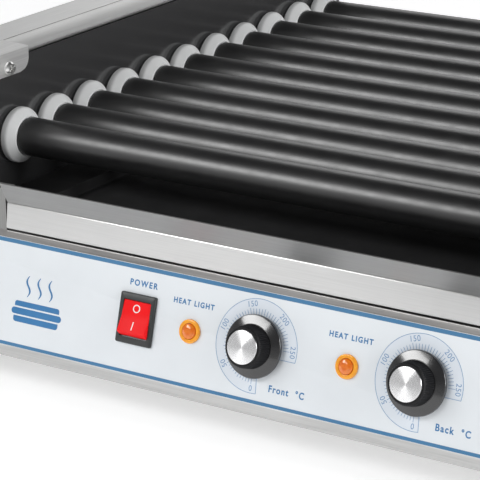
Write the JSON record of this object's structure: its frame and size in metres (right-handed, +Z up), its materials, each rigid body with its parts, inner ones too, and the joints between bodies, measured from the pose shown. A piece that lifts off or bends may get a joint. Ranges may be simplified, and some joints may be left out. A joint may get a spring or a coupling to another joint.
{
  "type": "hot dog roller grill",
  "caption": "Countertop grill with a bed of heated rollers between two steel cheeks, a pull-out drip tray and a sloped control panel with rocker switch, lamps and dials.",
  "frame": {"origin": "on the table under the middle of the grill's overall box, knobs included", "axes": "+X to the right of a cook facing the control panel, +Y from the control panel to the back, +Z up"},
  "size_m": [0.5844, 0.5, 0.1994],
  "materials": {
    "brushed_steel": "satin, brushed along the sheet",
    "casing_steel": "mill finish sheet",
    "foot_rubber": "matte moulded",
    "overlay_film": "satin printed film, pale blue with blue bands",
    "black_plastic": "moulded",
    "pale_plastic": "moulded",
    "screw_steel": "bright plated",
    "element_steel": "heat darkened",
    "chain_steel": "oiled",
    "motor_casing": "plated can",
    "switch_plastic": "moulded",
    "rocker_red": "glossy translucent red",
    "lamp_amber": "amber lens",
    "black_enamel": "semi-gloss black coating",
    "bush_polymer": "turned low-friction polymer",
    "roller_coating": "satin black non-stick coating",
    "knob_black": "moulded",
    "cap_aluminium": "spun, turned lines"
  },
  "bodies": {
    "casing": {"base_pan": "casing_steel", "feet": "foot_rubber", "control_panel": "brushed_steel", "panel_overlay": "overlay_film", "rear_panel": "brushed_steel", "cable_gland": "black_plastic", "terminal_block": "pale_plastic", "case_screws": "screw_steel", "heating_elements": "element_steel", "drive_chain": "chain_steel", "gear_motor": "motor_casing", "switch_frame": "switch_plastic", "indicator_lamps": "lamp_amber", "thermostats": "pale_plastic", "tray_rails": "black_enamel", "left_inner_wall": "black_enamel", "right_inner_wall": "black_enamel", "left_cover": "brushed_steel", "right_cover": "brushed_steel", "left_front_cap": "brushed_steel", "right_front_cap": "brushed_steel", "left_rear_cap": "brushed_steel", "right_rear_cap": "brushed_steel", "left_bushes": "bush_polymer", "right_bushes": "bush_polymer", "left_rod_bracket": "casing_steel", "right_rod_bracket": "casing_steel"},
    "roller_01_body": {"roller_01": "roller_coating", "sprocket_01": "chain_steel"},
    "roller_02_body": {"roller_02": "roller_coating", "sprocket_02": "chain_steel"},
    "roller_03_body": {"roller_03": "roller_coating", "sprocket_03": "chain_steel"},
    "roller_04_body": {"roller_04": "roller_coating", "sprocket_04": "chain_steel"},
    "roller_05_body": {"roller_05": "roller_coating", "sprocket_05": "chain_steel"},
    "roller_06_body": {"roller_06": "roller_coating", "sprocket_06": "chain_steel"},
    "roller_07_body": {"roller_07": "roller_coating", "sprocket_07": "chain_steel"},
    "roller_08_body": {"roller_08": "roller_coating", "sprocket_08": "chain_steel"},
    "roller_09_body": {"roller_09": "roller_coating", "sprocket_09": "chain_steel"},
    "roller_10_body": {"roller_10": "roller_coating", "sprocket_10": "chain_steel"},
    "roller_11_body": {"roller_11": "roller_coating", "sprocket_11": "chain_steel"},
    "motor_drive": {"motor_shaft": "chain_steel", "motor_sprocket": "chain_steel"},
    "front_control": {"front_knob": "knob_black", "front_knob_cap": "cap_aluminium", "front_thermostat_shaft": "chain_steel"},
    "back_control": {"back_knob": "knob_black", "back_knob_cap": "cap_aluminium", "back_thermostat_shaft": "chain_steel"},
    "rocker": {"switch_rocker": "rocker_red"},
    "tray": {"drip_tray": "brushed_steel"}
  },
  "joints": [
    {"name": "roller_01_spin", "type": "hinge", "parent": "casing", "child": "roller_01_body", "pos_m": [0, -0.1547, 0.138], "axis": [1, 0, 0], "continuous": true},
    {"name": "roller_02_spin", "type": "hinge", "parent": "casing", "child": "roller_02_body", "pos_m": [0, -0.1172, 0.138], "axis": [1, 0, 0], "continuous": true},
    {"name": "roller_03_spin", "type": "hinge", "parent": "casing", "child": "roller_03_body", "pos_m": [0, -0.0797, 0.138], "axis": [1, 0, 0], "continuous": true},
    {"name": "roller_04_spin", "type": "hinge", "parent": "casing", "child": "roller_04_body", "pos_m": [0, -0.0422, 0.138], "axis": [1, 0, 0], "continuous": true},
    {"name": "roller_05_spin", "type": "hinge", "parent": "casing", "child": "roller_05_body", "pos_m": [0, -0.0047, 0.138], "axis": [1, 0, 0], "continuous": true},
    {"name": "roller_06_spin", "type": "hinge", "parent": "casing", "child": "roller_06_body", "pos_m": [0, 0.0328, 0.138], "axis": [1, 0, 0], "continuous": true},
    {"name": "roller_07_spin", "type": "hinge", "parent": "casing", "child": "roller_07_body", "pos_m": [0, 0.0703, 0.138], "axis": [1, 0, 0], "continuous": true},
    {"name": "roller_08_spin", "type": "hinge", "parent": "casing", "child": "roller_08_body", "pos_m": [0, 0.1078, 0.138], "axis": [1, 0, 0], "continuous": true},
    {"name": "roller_09_spin", "type": "hinge", "parent": "casing", "child": "roller_09_body", "pos_m": [0, 0.1453, 0.138], "axis": [1, 0, 0], "continuous": true},
    {"name": "roller_10_spin", "type": "hinge", "parent": "casing", "child": "roller_10_body", "pos_m": [0, 0.1828, 0.138], "axis": [1, 0, 0], "continuous": true},
    {"name": "roller_11_spin", "type": "hinge", "parent": "casing", "child": "roller_11_body", "pos_m": [0, 0.2203, 0.138], "axis": [1, 0, 0], "continuous": true},
    {"name": "motor_spin", "type": "hinge", "parent": "casing", "child": "motor_drive", "pos_m": [0.228, 0.0328, 0.0778], "axis": [1, 0, 0], "continuous": true},
    {"name": "front_knob_turn", "type": "hinge", "parent": "casing", "child": "front_control", "pos_m": [0.0145, -0.23917, 0.0666], "axis": [0, 0.9603, -0.279], "range_deg": [0, 275]},
    {"name": "back_knob_turn", "type": "hinge", "parent": "casing", "child": "back_control", "pos_m": [0.1212, -0.23917, 0.0666], "axis": [0, 0.9603, -0.279], "range_deg": [0, 275]},
    {"name": "power_rocker", "type": "hinge", "parent": "casing", "child": "rocker", "pos_m": [-0.0697, -0.22957, 0.06381], "axis": [1, 0, 0], "range_deg": [0, 24]},
    {"name": "tray_slide", "type": "slide", "parent": "casing", "child": "tray", "axis": [0, -1, 0], "range_m": [0, 0.4]}
  ],
  "couplings": [
    {"joint": "roller_02_spin", "follows": "roller_01_spin", "ratio": 1},
    {"joint": "roller_03_spin", "follows": "roller_01_spin", "ratio": 1},
    {"joint": "roller_04_spin", "follows": "roller_01_spin", "ratio": 1},
    {"joint": "roller_05_spin", "follows": "roller_01_spin", "ratio": 1},
    {"joint": "roller_06_spin", "follows": "roller_01_spin", "ratio": 1},
    {"joint": "roller_07_spin", "follows": "roller_01_spin", "ratio": 1},
    {"joint": "roller_08_spin", "follows": "roller_01_spin", "ratio": 1},
    {"joint": "roller_09_spin", "follows": "roller_01_spin", "ratio": 1},
    {"joint": "roller_10_spin", "follows": "roller_01_spin", "ratio": 1},
    {"joint": "roller_11_spin", "follows": "roller_01_spin", "ratio": 1},
    {"joint": "motor_spin", "follows": "roller_01_spin", "ratio": 1.2}
  ]
}
